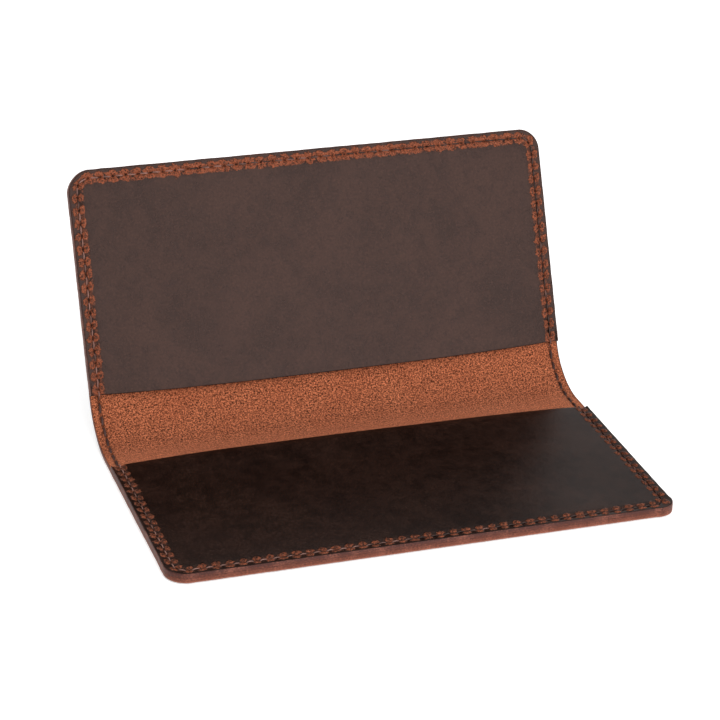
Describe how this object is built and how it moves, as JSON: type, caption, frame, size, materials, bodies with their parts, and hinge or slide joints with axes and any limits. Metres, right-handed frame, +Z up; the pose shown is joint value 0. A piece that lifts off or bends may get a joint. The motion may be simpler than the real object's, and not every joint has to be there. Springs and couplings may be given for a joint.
{
  "type": "business card case",
  "caption": "Folded leather case standing half open: one cover, two stitched slip pockets facing each other and a wide bare suede spine.",
  "frame": {"origin": "middle of the lower half's underside, below the centre of the lower pocket", "axes": "+X along the fold, to the right as the user looks into the open case; +Y from the lower half's free edge towards the fold; +Z up, away from the surface that it lies on"},
  "size_m": [0.165, 0.1343, 0.0823],
  "materials": {
    "cover_leather": "waxed pull-up leather, dark chocolate grain side out, semi-matt, burnished red-brown cut edges",
    "pocket_leather": "smooth waxed pull-up leather, dark chocolate, semi-gloss, lighter where the stitches pull it",
    "spine_suede": "bare flesh side, short orange-brown nap, matt",
    "thread": "waxed polyester thread, dark reddish brown"
  },
  "bodies": {
    "lower_half": {"lower_cover": "cover_leather", "lower_pocket": "pocket_leather", "lower_needle_thread": "thread", "lower_bobbin_thread": "thread"},
    "spine_1": {"spine_strip_1": "spine_suede", "spine_needle_thread_1": "thread", "spine_bobbin_thread_1": "thread"},
    "spine_2": {"spine_strip_2": "spine_suede", "spine_needle_thread_2": "thread", "spine_bobbin_thread_2": "thread"},
    "spine_3": {"spine_strip_3": "spine_suede", "spine_needle_thread_3": "thread", "spine_bobbin_thread_3": "thread"},
    "spine_4": {"spine_strip_4": "spine_suede", "spine_needle_thread_4": "thread", "spine_bobbin_thread_4": "thread"},
    "spine_5": {"spine_strip_5": "spine_suede", "spine_needle_thread_5": "thread", "spine_bobbin_thread_5": "thread"},
    "spine_6": {"spine_strip_6": "spine_suede", "spine_needle_thread_6": "thread", "spine_bobbin_thread_6": "thread"},
    "spine_7": {"spine_strip_7": "spine_suede", "spine_needle_thread_7": "thread", "spine_bobbin_thread_7": "thread"},
    "upper_half": {"upper_cover": "cover_leather", "upper_pocket": "pocket_leather", "upper_needle_thread": "thread", "upper_bobbin_thread": "thread"}
  },
  "joints": [
    {"name": "spine_bend_1", "type": "hinge", "parent": "lower_half", "child": "spine_1", "pos_m": [0, 0.0391, 0.0017], "axis": [1, 0, 0], "range_deg": [0, 14]},
    {"name": "spine_bend_2", "type": "hinge", "parent": "spine_1", "child": "spine_2", "pos_m": [0, 0.0433, 0.0017], "axis": [1, 0, 0], "range_deg": [0, 22]},
    {"name": "spine_bend_3", "type": "hinge", "parent": "spine_2", "child": "spine_3", "pos_m": [0, 0.0475, 0.0017], "axis": [1, 0, 0], "range_deg": [-9.47, 18.52]},
    {"name": "spine_bend_4", "type": "hinge", "parent": "spine_3", "child": "spine_4", "pos_m": [0, 0.05164, 0.00239], "axis": [1, 0, 0], "range_deg": [-10.53, 20.57]},
    {"name": "spine_bend_5", "type": "hinge", "parent": "spine_4", "child": "spine_5", "pos_m": [0, 0.05559, 0.00383], "axis": [1, 0, 0], "range_deg": [-10.53, 20.57]},
    {"name": "spine_bend_6", "type": "hinge", "parent": "spine_5", "child": "spine_6", "pos_m": [0, 0.05921, 0.00596], "axis": [1, 0, 0], "range_deg": [-9.47, 18.52]},
    {"name": "spine_bend_7", "type": "hinge", "parent": "spine_6", "child": "spine_7", "pos_m": [0, 0.06242, 0.00866], "axis": [1, 0, 0], "range_deg": [-15.89, 6.11]},
    {"name": "spine_bend_8", "type": "hinge", "parent": "spine_7", "child": "upper_half", "pos_m": [0, 0.06478, 0.01214], "axis": [1, 0, 0], "range_deg": [-10.11, 3.89]}
  ]
}
